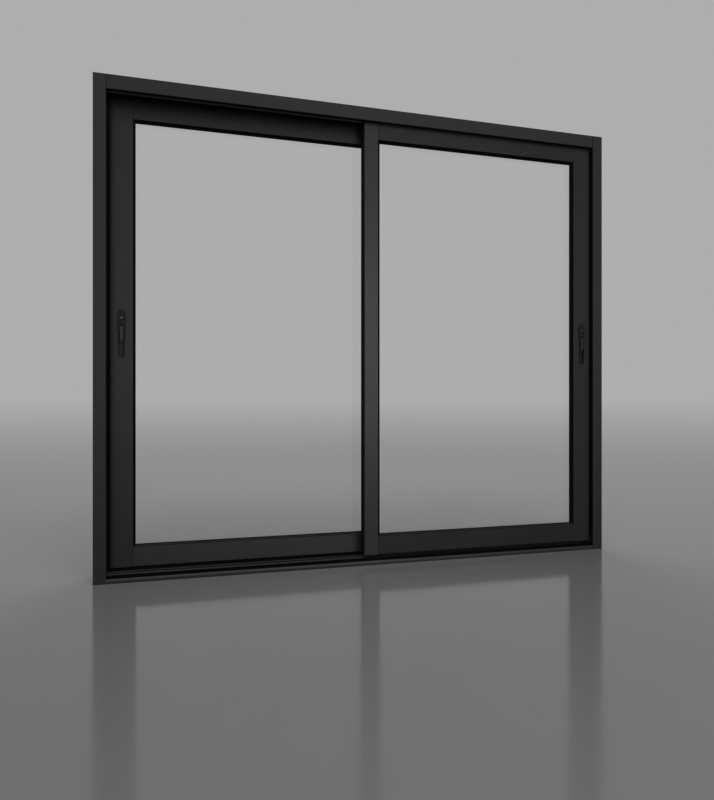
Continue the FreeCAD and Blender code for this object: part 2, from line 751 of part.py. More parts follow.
def make_handle(sash, middle_x, face_y):
    """Flush pull on the room side of the outer stile: plate with a finger cup, lever in it and indicator."""
    top = "handle_level + handle_length / 2 - handle_width / 2"
    foot = "handle_level - handle_length / 2 + handle_foot_width / 2"
    plate_front = f"-({face_y}) + plate_thickness"

    plate = new_body(f"{sash}_handle_plate")
    outline = new_sketch(plate, "XZ_Plane", f"-({face_y})")
    draw_capsule(outline, middle_x, foot, top, "handle_foot_width / 2", "handle_width / 2")
    pad(plate, outline, "plate_thickness")
    cup = new_sketch(plate, "XZ_Plane", f"-({face_y}) - recess_depth - cup_wall")
    draw_capsule(cup, middle_x, "recess_foot_z", "recess_crown_z", "cup_foot_half", "cup_half")
    pad(plate, cup, "recess_depth + cup_wall")
    recess = new_sketch(plate, "XZ_Plane", plate_front)
    draw_capsule(
        recess, middle_x, "recess_foot_z", "recess_crown_z", "recess_foot_width / 2", "recess_width / 2",
    )
    pocket(plate, recess, "plate_thickness + recess_depth")
    node(plate)

    lever = new_body(f"{sash}_handle_lever")
    bar = new_sketch(lever, "XZ_Plane", f"{plate_front} + lever_proud - lever_thickness")
    lever_foot = "handle_level - lever_length / 2 + lever_foot_width / 2"
    draw_capsule(bar, middle_x, lever_foot, "lever_crown_z", "lever_foot_width / 2", "lever_width / 2")
    pad(lever, bar, "lever_thickness")
    boss = new_sketch(lever, "XZ_Plane", f"-({face_y}) - recess_depth")
    draw_circle(boss, middle_x, "lever_crown_z", "boss_radius")
    pad(lever, boss, "recess_depth + plate_thickness + lever_proud - lever_thickness")
    node(lever)

    indicator = new_body(f"{sash}_handle_indicator")
    dot = new_sketch(indicator, "XZ_Plane", plate_front)
    draw_circle(dot, middle_x, "handle_level + indicator_rise", "indicator_radius")
    pad(indicator, dot, "indicator_thickness")
    node(indicator)


def make_sash(sash, turned):
    make_outer_stile(sash, turned)
    make_meeting_stile(sash, turned)
    make_top_rail(sash, turned)
    make_bottom_rail(sash, turned)
    make_interlock(sash, turned)
    make_glazing(sash, turned)
    make_rollers(sash, turned)
    if turned:
        make_handle(sash, "-outer_stile_x", "-sash_back_y")
    else:
        make_handle(sash, "outer_stile_x", "sash_front_y")


make_jamb("left_jamb", turned=False)
make_jamb("right_jamb", turned=True)
make_jamb_guides("left_jamb_guides", turned=False)
make_jamb_guides("right_jamb_guides", turned=True)
make_head()
make_head_guide("front_head_guide", "front_track_y")
make_head_guide("rear_head_guide", "-front_track_y")
make_sill()
make_track_rail("front_track_rail", "front_track_y")
make_track_rail("rear_track_rail", "-front_track_y")
make_sash("left", turned=True)
make_sash("right", turned=False)
doc.recompute()

# Every object has to be sound before anything is written
for thing in doc.Objects:
    if "Invalid" in thing.State or "Error" in thing.State:
        raise RuntimeError(f"{thing.Label} did not recompute: {thing.State}")
for piece in nodes:
    if piece.Shape.isNull() or not piece.Shape.isValid() or not piece.Shape.Solids:
        raise RuntimeError(f"{piece.Label} has no sound solid")

os.makedirs("parts", exist_ok=True)
for piece in nodes:
    piece.Shape.exportStep(f"parts/{piece.Label}.step")
    box = piece.Shape.BoundBox
    print(f"{piece.Label}: {len(piece.Shape.Solids)} solid(s), {piece.Shape.Volume / 1000:.1f} cm3,",
          f"x {box.XMin:.1f} to {box.XMax:.1f}, y {box.YMin:.1f} to {box.YMax:.1f}, z {box.ZMin:.1f} to {box.ZMax:.1f}")
print(len(nodes), "sub-parts")
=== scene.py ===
# %% [markdown]
# A horizontal sliding window: a black powder-coated aluminium frame with two glazed sashes that pass
# each other on two sill tracks. The construction comes packed, piece by piece, in metres. This lesson
# gives every piece its finish, adds the screws and the pile strips, and lights a plain studio.

import json
import math

import bmesh
import bpy
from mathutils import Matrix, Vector


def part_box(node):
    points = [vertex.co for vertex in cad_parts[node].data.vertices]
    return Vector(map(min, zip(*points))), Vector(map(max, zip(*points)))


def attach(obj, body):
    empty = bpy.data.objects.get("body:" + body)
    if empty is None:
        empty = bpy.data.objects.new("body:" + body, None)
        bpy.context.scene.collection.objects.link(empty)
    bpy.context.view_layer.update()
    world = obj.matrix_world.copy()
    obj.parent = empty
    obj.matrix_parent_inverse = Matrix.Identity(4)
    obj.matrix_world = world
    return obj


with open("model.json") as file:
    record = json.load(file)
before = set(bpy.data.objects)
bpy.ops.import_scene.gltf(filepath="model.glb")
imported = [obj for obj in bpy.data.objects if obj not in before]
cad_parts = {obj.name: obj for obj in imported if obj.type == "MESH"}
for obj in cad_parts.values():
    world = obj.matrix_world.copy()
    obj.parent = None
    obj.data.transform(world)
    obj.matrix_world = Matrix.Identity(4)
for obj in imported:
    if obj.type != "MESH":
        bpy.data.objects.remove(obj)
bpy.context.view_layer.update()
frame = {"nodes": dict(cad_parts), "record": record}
SLOT_OF = {row["node"]: row["material_slot"] for row in frame["record"]["subparts"]}

# %% [markdown]
# The camera stands to the left of the window's middle, level, at about a third of the window's height.
# A level camera keeps uprights upright, so the jambs stay parallel to the picture's sides and only the
# head and sill run together towards the right. The lens is a wide one: its focal length is 650 pixels,
# in a picture 800 pixels high.

# %% Camera
CAMERA_PLACE = Vector((-0.666, -2.185, 0.563))
CAMERA_TURN = math.radians(15.83)
SENSOR = 36.0
LENS = 29.25

lens = bpy.data.cameras.new("studio_camera")
lens.sensor_width = SENSOR
lens.lens = LENS
camera = bpy.data.objects.new("studio_camera", lens)
camera.location = CAMERA_PLACE
camera.rotation_euler = (math.radians(90), 0, -CAMERA_TURN)
bpy.context.scene.collection.objects.link(camera)
bpy.context.scene.camera = camera
print("camera at", tuple(CAMERA_PLACE))

# %% [markdown]
# Shader maths reads best as plain sums. One small class wraps a socket and answers to the arithmetic
# signs, and one method of the shader adds any node: its settings first, then what feeds its sockets.

# %% Sums on sockets
class Wire:
    """An output socket of a shader, which takes part in Python sums."""

    def __init__(self, shader, socket):
        self.shader = shader
        self.socket = socket

    def reckon(self, operation, left, right):
        return self.shader.add("ShaderNodeMath", {"operation": operation}, {0: left, 1: right})

    def __add__(self, other):
        return self.reckon("ADD", self, other)

    def __radd__(self, other):
        return self.reckon("ADD", other, self)

    def __sub__(self, other):
        return self.reckon("SUBTRACT", self, other)

    def __rsub__(self, other):
        return self.reckon("SUBTRACT", other, self)

    def __mul__(self, other):
        return self.reckon("MULTIPLY", self, other)

    def __rmul__(self, other):
        return self.reckon("MULTIPLY", other, self)


# %% A shader that adds nodes
class Shader:
    """The node tree of one finish, or of the world."""

    def __init__(self, owner):
        owner.use_nodes = True
        self.owner = owner
        self.nodes = owner.node_tree.nodes
        self.links = owner.node_tree.links

    def feed(self, node, inputs):
        for name, value in inputs.items():
            if isinstance(value, Wire):
                self.links.new(value.socket, node.inputs[name])
            else:
                node.inputs[name].default_value = value

    def add(self, kind, settings, inputs, output=0):
        node = self.nodes.new(kind)
        for name, value in settings.items():
            setattr(node, name, value)
        self.feed(node, inputs)
        return Wire(self, node.outputs[output])

    def place(self, stretch=(1, 1, 1)):
        """Object coordinates, drawn out by a different factor along each axis."""
        source = self.add("ShaderNodeTexCoord", {}, {}, "Object")
        return self.add("ShaderNodeMapping", {}, {"Vector": source, "Scale": stretch})

    def along(self, axis):
        """Object coordinates along one axis, X, Y or Z."""
        return self.add("ShaderNodeSeparateXYZ", {}, {"Vector": self.place()}, axis)

    def unsigned(self, value):
        """A value without its sign."""
        return self.add("ShaderNodeMath", {"operation": "ABSOLUTE"}, {0: value})

    def noise(self, size, detail=2.0, stretch=(1, 1, 1)):
        """Cloudy values around a half, in patches of about one size in metres."""
        inputs = {"Vector": self.place(stretch), "Scale": 1 / size, "Detail": detail}
        return self.add("ShaderNodeTexNoise", {}, inputs)

    def between(self, low, high, value):
        """0 below low, 1 above high, and smooth between them."""
        settings = {"interpolation_type": "SMOOTHSTEP"}
        inputs = {"Value": value, "From Min": low, "From Max": high}
        return self.add("ShaderNodeMapRange", settings, inputs)

    def mix(self, share, first, second):
        """A colour between two, by share."""
        return self.add("ShaderNodeMix", {"data_type": "RGBA"}, {0: share, 6: first, 7: second}, 2)

    def bump(self, height, depth, strength):
        """A normal from a height between 0 and 1, which stands for a depth in metres."""
        inputs = {"Height": height, "Distance": depth, "Strength": strength}
        return self.add("ShaderNodeBump", {}, inputs)

    def upward(self):
        """How far a face looks up: 1 on a level upper face, 0 on an upright one, -1 on an underside."""
        normal = self.add("ShaderNodeNewGeometry", {}, {}, "Normal")
        return self.add("ShaderNodeSeparateXYZ", {}, {"Vector": normal}, "Z")


def finish_named(name, **constants):
    """A new finish whose one-value sockets are set on the shader itself."""
    shader = Shader(bpy.data.materials.new(name))
    surface = shader.nodes["Principled BSDF"]
    for socket, value in constants.items():
        surface.inputs[socket.replace("_", " ")].default_value = value
    return shader, surface


def grey(value, warmth=0.0):
    """An opaque grey, a little warmer or cooler where asked."""
    return (value * (1 + warmth), value, value * (1 - warmth), 1)


# %% [markdown]
# The profiles are powder coated: a matte black skin, baked on, with the fine pebbled surface that the
# powder leaves as it flows. Its gloss drifts a little along a bar, and a film of dust greys the ledges
# that look up. The pebbles are about a millimetre, so they are mostly bump, with a trace in tone and
# gloss, and the drift is roughness. A matte coat has a sheen face on but stays dark along its edge,
# unlike glass, so half of it is a dark metal with a dark edge tint, and the clear gloss that plastics
# have is switched off. Five bars of the sashes get painted light and shade, to match the photo's
# levels: a factor above one paints a bar lighter, and one below paints it darker.

# %% Powder coat
# Painted light and shade: a factor above one paints the bar lighter, and one below paints it darker.
PAINTED_LIGHT_SHADES = {
    "left_bottom_rail": 1.2,
    "right_bottom_rail": 0.83,
    "right_top_rail": 0.83,
    "right_outer_stile": 0.88,
    "right_meeting_stile": 1.1,
}


def coat_finish(name, painted_light_factor=1.0):
    """A shader with the coat's pebbles, and its colour and roughness before any dust."""
    shader, surface = finish_named(name, Metallic=0.5, Specular_IOR_Level=0.0, Specular_Tint=grey(0.15))
    pebble = shader.noise(size=0.0014, detail=3)
    drift = shader.noise(size=0.35)
    mottle = shader.noise(size=0.02, detail=4)
    shader.feed(surface, {"Normal": shader.bump(pebble, depth=0.0002, strength=0.8)})
    # The coat's greys are scaled by the bar's factor of painted light and shade.
    coat = shader.mix(0.6 * mottle + 0.4 * pebble, grey(0.031 * painted_light_factor), grey(0.043 * painted_light_factor))
    return shader, surface, coat, 0.38 + 0.10 * drift + 0.08 * pebble, mottle


def dusty_finish(name, painted_light_factor=1.0):
    """The coat with a film of dust, and how far each face counts as an upper one."""
    shader, surface, coat, roughness, mottle = coat_finish(name, painted_light_factor)
    upper = shader.between(0.4, 0.95, shader.upward())
    dust = upper * (0.25 + 0.5 * mottle)
    dusty = shader.mix(dust, coat, grey(0.095, 0.02))
    return shader, surface, dusty, roughness + 0.12 * dust, upper


def powder_coat(name, painted_light_factor=1.0):
    shader, surface, dusty, roughness, _ = dusty_finish(name, painted_light_factor)
    shader.feed(surface, {"Base Color": dusty, "Roughness": roughness})
    return shader.owner


# %% [markdown]
# The head butts against the jambs, and a thin dark line darkens the head beside each joint. It stays
# on the head, so it goes by the distance from the jamb's inner edge, and the upper face has none. It is
# fainter at the left joint, as in the photo.

# %% Dark lines at the head's joints
JOINT_LINE_WIDTH = 0.003
JOINT_LINE_EDGE = 0.0006
LEFT_JOINT_LINE = 0.35
MIDDLE_FADE = 0.1


def joint_line_coat(name):
    shader, surface, dusty, roughness, upper = dusty_finish(name)
    across = shader.along("X")
    outward = shader.unsigned(across)
    inner_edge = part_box("right_jamb")[0].x
    start = inner_edge - JOINT_LINE_WIDTH
    strength = LEFT_JOINT_LINE + (1 - LEFT_JOINT_LINE) * shader.between(-MIDDLE_FADE, MIDDLE_FADE, across)
    # A thin dark line on the head beside each jamb, fainter at the left joint and none on upper faces.
    joint_line = shader.between(start - JOINT_LINE_EDGE, start, outward) * strength * (1 - upper)
    shader.feed(surface, {
        "Base Color": shader.mix(joint_line, dusty, grey(0.012)),
        "Roughness": roughness + 0.1 * joint_line,
    })
    return shader.owner


# %% [markdown]
# Under the head a painted shadow darkens the sashes' tops, and fades downwards. It runs further down on
# the rear sash, which stands deeper under the head. A fainter painted shadow darkens the outer stiles
# along their edges beside the jambs.

# %% Painted shadow on the sashes' edges
SHADOW_START = {"left": 0.008, "right": 0.014}
SHADOW_REACH = {"left": 0.045, "right": 0.018}
SHADOWED_PIECES = ("top_rail", "outer_stile", "meeting_stile")
SIDE_SHADOW = 0.3
SIDE_SHADOW_REACH = 0.022


def painted_shadow_coat(name, side, painted_light_factor):
    shader, surface, dusty, roughness, _ = dusty_finish(name, painted_light_factor)
    height = shader.along("Z")
    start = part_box(f"{side}_top_rail")[1].z - SHADOW_START[side]
    # Painted shadow under the head, darkest at the sash's top and fading downwards.
    top_shadow = shader.between(start - SHADOW_REACH[side], start, height)
    across = shader.along("X")
    outward = shader.unsigned(across)
    edge = max(abs(corner.x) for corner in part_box(f"{side}_outer_stile"))
    # A fainter painted shadow along the outer stile's edge beside the jamb.
    side_shadow = SIDE_SHADOW * shader.between(edge - SIDE_SHADOW_REACH, edge, outward)
    painted_shade = top_shadow + side_shadow * (1 - top_shadow)
    shader.feed(surface, {"Base Color": shader.mix(painted_shade, dusty, grey(0.005)), "Roughness": roughness})
    return shader.owner


# %% [markdown]
# The sill has the same coat, with painted light and shade. A painted highlight makes the upper faces of
# the rounded lips pale, and painted shade darkens the sill between the lips almost to black. Both go by
# the depth across the sill, which is the same in front and behind, so one mask takes the depth without
# its sign. The painted highlight is strongest where the track beside a lip lies open: in front that is
# the left half, and behind it is the right half.

# %% Sill coat
LIP_INSIDE = 0.0565
LIP_START = 0.0585
LIP_MIDDLE = 0.0625
OPEN_FADE = 0.2
COVERED_HIGHLIGHT_LOSS = 0.75


def sill_coat(name):
    shader, surface, coat, roughness, mottle = coat_finish(name)
    across = shader.along("X")
    depth = shader.along("Y")
    outward = shader.unsigned(depth)
    lip = shader.between(LIP_INSIDE, LIP_START, outward)
    covered = shader.between(0.0, LIP_MIDDLE * OPEN_FADE, 0 - across * depth)
    highlight_share = (0.4 + 0.6 * mottle) * (1 - COVERED_HIGHLIGHT_LOSS * covered)
    # Painted highlight on the lips' upper faces, weaker where the track beside the lip is covered.
    painted_light = lip * shader.between(0.25, 0.8, shader.upward()) * highlight_share
    # Painted shade: the sill between the lips is near black.
    shaded_sill = shader.mix(lip, grey(0.008), coat)
    shader.feed(surface, {
        "Base Color": shader.mix(painted_light, shaded_sill, grey(0.09, 0.01)),
        "Roughness": roughness + 0.1 * painted_light,
    })
    return shader.owner


# %% [markdown]
# The running rails are drawn aluminium, anodised dark. Drawing leaves fine lines along the rail. The
# rollers keep the top of the fin clean and dust lies on the flare below it, so the dust goes by how far
# a face looks up. Noise drawn out along X gives the lines.

# %% Track rails
def track_anodising(name):
    shader, surface = finish_named(name, Metallic=0.6)
    lines = shader.noise(size=0.0008, stretch=(0.004, 1, 1))
    scuff = shader.noise(size=0.03, detail=4, stretch=(0.15, 1, 1))
    tilt = shader.upward()
    dust = shader.between(0.4, 0.65, tilt) * (1 - shader.between(0.75, 0.95, tilt)) * (0.5 + scuff)
    shader.feed(surface, {
        "Base Color": shader.mix(dust, grey(0.022), grey(0.075, 0.02)),
        "Roughness": 0.36 + 0.12 * lines + 0.2 * dust,
        "Normal": shader.bump(lines, depth=0.00004, strength=0.4),
    })
    return shader.owner


# %% [markdown]
# The glass is clear float glass in two panes with a coating against reflections. Each pane is a closed
# slab, so a see-through shader bends light in and out again as the real one does. A lower refraction
# than bare glass has stands for the coating, and a trace of dust shows in its roughness.

# %% Glass
def float_glass(name):
    shader, surface = finish_named(name, Transmission_Weight=1.0, IOR=1.3)
    haze = shader.noise(size=0.25, detail=3)
    shader.feed(surface, {
        "Base Color": shader.mix(haze, (0.993, 0.995, 0.995, 1), (0.996, 0.997, 0.997, 1)),
        "Roughness": 0.004 * haze,
    })
    return shader.owner


# %% [markdown]
# Small parts: black guide strips and beads, soft gaskets, the perforated spacer bar between the panes,
# zinc-plated carriages with their crystal spangle, dark nylon rollers, and the pull with its lever and
# its red dot.

# %% Guide strips and glazing beads
def black_plastic(name):
    shader, surface = finish_named(name, Specular_IOR_Level=0.0)
    grain = shader.noise(size=0.0007, detail=3)
    rub = shader.noise(size=0.02, detail=4, stretch=(1, 1, 0.1))
    dust = shader.between(0.3, 0.9, shader.upward())
    clean = shader.mix(rub, grey(0.005), grey(0.009))
    shader.feed(surface, {
        "Base Color": shader.mix(dust, clean, grey(0.045)),
        "Roughness": 0.5 + 0.2 * rub,
        "Normal": shader.bump(grain, depth=0.00004, strength=0.4),
    })
    return shader.owner


# %% [markdown]
# The front guide under the head gets painted light along its lower edge, a band of paler grey. Its
# noise is drawn out along X, the way that the sash slides.

# %% Guide with painted light
LIT_EDGE_GUIDE = "front_head_guide"
LIT_EDGE_HEIGHT = 0.004
LIT_EDGE_FADE = 0.004


def painted_light_plastic(name):
    shader, surface = finish_named(name, Specular_IOR_Level=0.0)
    grain = shader.noise(size=0.0007, detail=3)
    streak = shader.noise(size=0.02, detail=4, stretch=(0.1, 1, 1))
    height = shader.along("Z")
    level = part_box(LIT_EDGE_GUIDE)[0].z + LIT_EDGE_HEIGHT
    # Painted light: a paler grey band along the guide's lower edge.
    painted_light = (1 - shader.between(level, level + LIT_EDGE_FADE, height)) * (0.7 + 0.3 * streak)
    shader.feed(surface, {
        "Base Color": shader.mix(painted_light, grey(0.006), grey(0.032)),
        "Roughness": 0.6 - 0.15 * painted_light,
        "Normal": shader.bump(grain, depth=0.00004, strength=0.4),
    })
    return shader.owner


# %% Rubber and spacer bar
PORES_PER_METRE = 350.0


def gasket_rubber(name):
    shader, surface = finish_named(name, Specular_IOR_Level=0.0)
    grain = shader.noise(size=0.0006, detail=3)
    bloom = shader.noise(size=0.05, detail=3)
    shader.feed(surface, {
        "Base Color": shader.mix(bloom, grey(0.008), grey(0.014)),
        "Roughness": 0.72 + 0.12 * bloom,
        "Normal": shader.bump(grain, depth=0.00005, strength=0.4),
    })
    return shader.owner


def spacer_bar(name):
    shader, surface = finish_named(name, Metallic=0.5)
    spots = shader.add("ShaderNodeTexVoronoi", {}, {"Vector": shader.place(), "Scale": PORES_PER_METRE})
    pores = 1 - shader.between(0.15, 0.3, spots)
    shader.feed(surface, {
        "Base Color": shader.mix(pores, grey(0.03), grey(0.004)),
        "Roughness": 0.4 + 0.3 * pores,
        "Normal": shader.bump(1 - pores, depth=0.0002, strength=0.5),
    })
    return shader.owner


# %% Zinc and nylon
CRYSTALS_PER_METRE = 260.0


def zinc_plate(name):
    shader, surface = finish_named(name, Metallic=1.0)
    pattern = {"Vector": shader.place(), "Scale": CRYSTALS_PER_METRE}
    cells = shader.add("ShaderNodeTexVoronoi", {}, pattern, "Color")
    spangle = shader.add("ShaderNodeSeparateColor", {}, {"Color": cells})
    stain = shader.noise(size=0.02, detail=4)
    shader.feed(surface, {
        "Base Color": shader.mix(spangle * 0.6 + stain * 0.4, grey(0.36), grey(0.62)),
        "Roughness": 0.28 + 0.2 * spangle,
        "Normal": shader.bump(stain, depth=0.0001, strength=0.3),
    })
    return shader.owner


def roller_nylon(name):
    shader, surface = finish_named(name, Specular_IOR_Level=0.3)
    grain = shader.noise(size=0.0012, detail=3)
    grime = shader.noise(size=0.012, detail=4)
    shader.feed(surface, {
        "Base Color": shader.mix(grime, grey(0.022), grey(0.034)),
        "Roughness": 0.42 + 0.18 * grime,
        "Normal": shader.bump(grain, depth=0.00008, strength=0.4),
    })
    return shader.owner


# %% [markdown]
# A pull's finger cup gets painted light, a paler grey, while the plate round it stays satin black. The
# cup goes by the depth behind the plate's front face, so each pull has a finish of its own.

# %% Pull, lever and indicator
CUP_START = 0.004
CUP_FADE = 0.002


def satin_pull(name, side):
    shader, surface = finish_named(name, Specular_IOR_Level=0.12)
    grain = shader.noise(size=0.0005, detail=2)
    touch = shader.noise(size=0.03, detail=3)
    depth = shader.along("Y")
    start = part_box(f"{side}_handle_plate")[0].y + CUP_START
    # Painted light: the finger cup is a paler grey than the plate.
    cup_light = shader.between(start, start + CUP_FADE, depth)
    plate = shader.mix(touch, grey(0.0075), grey(0.0105))
    shader.feed(surface, {
        "Base Color": shader.mix(cup_light, plate, grey(0.024)),
        "Roughness": 0.36 + 0.12 * touch,
        "Normal": shader.bump(grain, depth=0.00003, strength=0.5),
    })
    return shader.owner


def lever_grey(name):
    shader, surface = finish_named(name, Metallic=0.3, Specular_IOR_Level=0.12)
    grain = shader.noise(size=0.0005, detail=2)
    touch = shader.noise(size=0.01, detail=3)
    shader.feed(surface, {
        "Base Color": shader.mix(touch, grey(0.022), grey(0.032)),
        "Roughness": 0.3 + 0.15 * touch,
        "Normal": shader.bump(grain, depth=0.00003, strength=0.5),
    })
    return shader.owner


def indicator_red(name):
    shader, surface = finish_named(name, Coat_Weight=0.2)
    tint = shader.noise(size=0.002, detail=2)
    shader.feed(surface, {
        "Base Color": shader.mix(tint, (0.19, 0.005, 0.008, 1), (0.24, 0.008, 0.011, 1)),
        "Roughness": 0.25 + 0.1 * tint,
    })
    return shader.owner


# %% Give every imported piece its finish
FINISHES = {
    "black_aluminium": powder_coat("black_powder_coat"),
    "track_aluminium": track_anodising("dark_anodised_track"),
    "black_plastic": black_plastic("black_moulded_plastic"),
    "clear_glass": float_glass("clear_float_glass"),
    "black_rubber": gasket_rubber("black_gasket_rubber"),
    "spacer_bar": spacer_bar("perforated_spacer_bar"),
    "galvanised_steel": zinc_plate("zinc_plated_steel"),
    "roller_nylon": roller_nylon("moulded_roller_nylon"),
    "lever_grey": lever_grey("satin_grey_lever"),
    "indicator_red": indicator_red("red_indicator"),
}
SPECIAL = {
    "sill": sill_coat("sill_coat_with_painted_light"),
    "head": joint_line_coat("joint_lined_head_coat"),
    LIT_EDGE_GUIDE: painted_light_plastic("guide_plastic_with_painted_light"),
}
for side in SHADOW_START:
    for piece in SHADOWED_PIECES:
        node = f"{side}_{piece}"
        SPECIAL[node] = painted_shadow_coat(f"painted_shadow_{node}_coat", side, PAINTED_LIGHT_SHADES.get(node, 1.0))
    # The bottom rails take only their factor of painted light and shade.
    node = f"{side}_bottom_rail"
    SPECIAL[node] = powder_coat(f"{node}_coat", PAINTED_LIGHT_SHADES[node])
    SPECIAL[f"{side}_handle_plate"] = satin_pull(f"satin_{side}_pull", side)
for node, piece in frame["nodes"].items():
    for slot in piece.material_slots:
        slot.material = SPECIAL.get(node) or FINISHES[SLOT_OF[node]]
print("finishes:", len(FINISHES), "and special ones on", len(SPECIAL), "pieces")

# %% [markdown]
# Screws hold the frame's corners, the sashes' corners and the interlock strips. All are one pan head
# with a cross recess. A twelve-sided ring meets the twelve corners of the cross one to one, so the head
# needs only four bands of faces, the recess's floor and the underside. A band has an outline, its scale
# and its level, as shares of the head's radius and height.

# %% One screw head
SCREW_RADIUS = 0.0036
SCREW_HEIGHT = 0.0016
SCREW_SUNK = 0.0015
RING_SIDES = 12
CROSS_REACH = 0.5
CROSS_HALF_SLOT = 0.14


def cross_corners(reach, half_slot):
    """The twelve corners of a cross, from its right arm round."""
    arm = [(reach, -half_slot), (reach, half_slot), (half_slot, half_slot)]
    corners = []
    for quarter in range(4):
        turn = quarter * math.pi / 2
        cosine, sine = math.cos(turn), math.sin(turn)
        for x, y in arm:
            corners.append((x * cosine - y * sine, x * sine + y * cosine))
    return corners


def screw_head():
    shape = bmesh.new()
    angles = [(2 * i - 1) * math.pi / RING_SIDES for i in range(RING_SIDES)]
    circle = [(math.cos(angle), math.sin(angle)) for angle in angles]
    cross = cross_corners(CROSS_REACH, CROSS_HALF_SLOT)
    bands = [
        (circle, 1.0, 0.0), (circle, 0.94, 0.55), (circle, 0.68, 1.0),
        (cross, 1.0, 1.0), (cross, 0.85, 0.35),
    ]
    rings = []
    for outline, scale, level in bands:
        reach = scale * SCREW_RADIUS
        places = [(x * reach, y * reach, level * SCREW_HEIGHT) for x, y in outline]
        rings.append([shape.verts.new(place) for place in places])
    for low, high in zip(rings, rings[1:]):
        for i in range(RING_SIDES):
            after = (i + 1) % RING_SIDES
            shape.faces.new((low[i], low[after], high[after], high[i]))
    shape.faces.new(rings[-1])
    shape.faces.new(list(reversed(rings[0])))
    mesh = bpy.data.meshes.new("screw_head")
    shape.to_mesh(mesh)
    shape.free()
    return bpy.data.objects.new("screw_head", mesh)


screw_pattern = screw_head()
print("screw head faces:", len(screw_pattern.data.polygons))

# %% [markdown]
# Geometry Nodes put a head on every point. Each point carries the way that it faces as an attribute,
# so one tree serves the frame and both sashes. A seeded spin leaves no two crosses in line.

# %% Node tree helpers
def new_tree(name, sizes):
    """A geometry tree with a mesh in, a mesh out and one named input for each size."""
    tree = bpy.data.node_groups.new(name, "GeometryNodeTree")
    tree.interface.new_socket("Mesh", in_out="INPUT", socket_type="NodeSocketGeometry")
    tree.interface.new_socket("Mesh", in_out="OUTPUT", socket_type="NodeSocketGeometry")
    for label, kind in sizes.items():
        tree.interface.new_socket(label, in_out="INPUT", socket_type=kind)
    return tree


def add_node(tree, kind, settings, inputs):
    """Add a node: settings first, then values or links for its sockets, by name or number."""
    node = tree.nodes.new(kind)
    for name, value in settings.items():
        setattr(node, name, value)
    for name, value in inputs.items():
        if isinstance(value, bpy.types.NodeSocket):
            tree.links.new(value, node.inputs[name])
        else:
            node.inputs[name].default_value = value
    return node


def close_tree(tree, instances, finish):
    """Realise the instances, give them their finish and hand them on."""
    real = add_node(tree, "GeometryNodeRealizeInstances", {}, {0: instances})
    dressed = add_node(tree, "GeometryNodeSetMaterial", {}, {
        "Geometry": real.outputs[0], "Material": finish,
    })
    add_node(tree, "NodeGroupOutput", {}, {0: dressed.outputs[0]})


def grown(holder, tree, sizes, name):
    """Run a tree on a holder's mesh and return the result as a plain object."""
    bpy.context.scene.collection.objects.link(holder)
    modifier = holder.modifiers.new(tree.name, "NODES")
    modifier.node_group = tree
    for item in tree.interface.items_tree:
        if item.in_out == "INPUT" and item.name in sizes:
            modifier[item.identifier] = sizes[item.name]
    graph = bpy.context.evaluated_depsgraph_get()
    mesh = bpy.data.meshes.new_from_object(holder.evaluated_get(graph))
    mesh.name = name
    holder.modifiers.remove(modifier)
    bpy.data.objects.remove(holder)
    piece = bpy.data.objects.new(name, mesh)
    bpy.context.scene.collection.objects.link(piece)
    return piece


# %% A tree that drives screws
SPIN_SEED = 7
screw_finish = FINISHES["galvanised_steel"]


def screw_tree():
    tree = new_tree("drive_screws", {"Head": "NodeSocketObject"})
    entry = add_node(tree, "NodeGroupInput", {}, {})
    pattern = add_node(tree, "GeometryNodeObjectInfo", {}, {"Object": entry.outputs["Head"]})
    facing = add_node(tree, "GeometryNodeInputNamedAttribute", {"data_type": "FLOAT_VECTOR"}, {
        "Name": "facing",
    })
    upright = add_node(tree, "FunctionNodeAlignRotationToVector", {"axis": "Z"}, {
        "Vector": facing.outputs[0],
    })
    spin = add_node(tree, "FunctionNodeRandomValue", {"data_type": "FLOAT"}, {
        2: 0.0, 3: math.pi, "Seed": SPIN_SEED,
    })
    turn = add_node(tree, "ShaderNodeCombineXYZ", {}, {"Z": spin.outputs[1]})
    spun = add_node(tree, "FunctionNodeRotateRotation", {"rotation_space": "LOCAL"}, {
        0: upright.outputs[0], 1: turn.outputs[0],
    })
    heads = add_node(tree, "GeometryNodeInstanceOnPoints", {}, {
        "Points": entry.outputs["Mesh"],
        "Instance": pattern.outputs["Geometry"],
        "Rotation": spun.outputs[0],
    })
    close_tree(tree, heads.outputs[0], screw_finish)
    return tree


def points_facing(name, screws):
    """A mesh of loose points, each with the way that its screw faces."""
    mesh = bpy.data.meshes.new(name)
    mesh.from_pydata([place for place, _ in screws], [], [])
    facing = mesh.attributes.new("facing", "FLOAT_VECTOR", "POINT")
    for value, (_, way) in zip(facing.data, screws):
        value.vector = way
    return bpy.data.objects.new(name, mesh)


# %% Where the frame's screws sit
SCREW_ROW = (-0.044, 0.0, 0.044)
HEAD_PORT = 0.010
SILL_PORT = 0.005


def frame_screws():
    """Through each jamb into the ends of the head and the sill."""
    screws = []
    for node, side in (("left_jamb", -1), ("right_jamb", 1)):
        low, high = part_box(node)
        outer = low.x if side < 0 else high.x
        for level in (low.z + SILL_PORT, high.z - HEAD_PORT):
            for depth in SCREW_ROW:
                screws.append(((outer - side * SCREW_SUNK, depth, level), (side, 0, 0)))
    return screws


# %% Where a sash's screws sit
STILE_SCREW_SPREAD = 0.014
INTERLOCK_SCREW_STEP = 0.25
INTERLOCK_SHEET = 0.002
INTERLOCK_SHIFT = 0.002
INNER_SHARE = 0.75


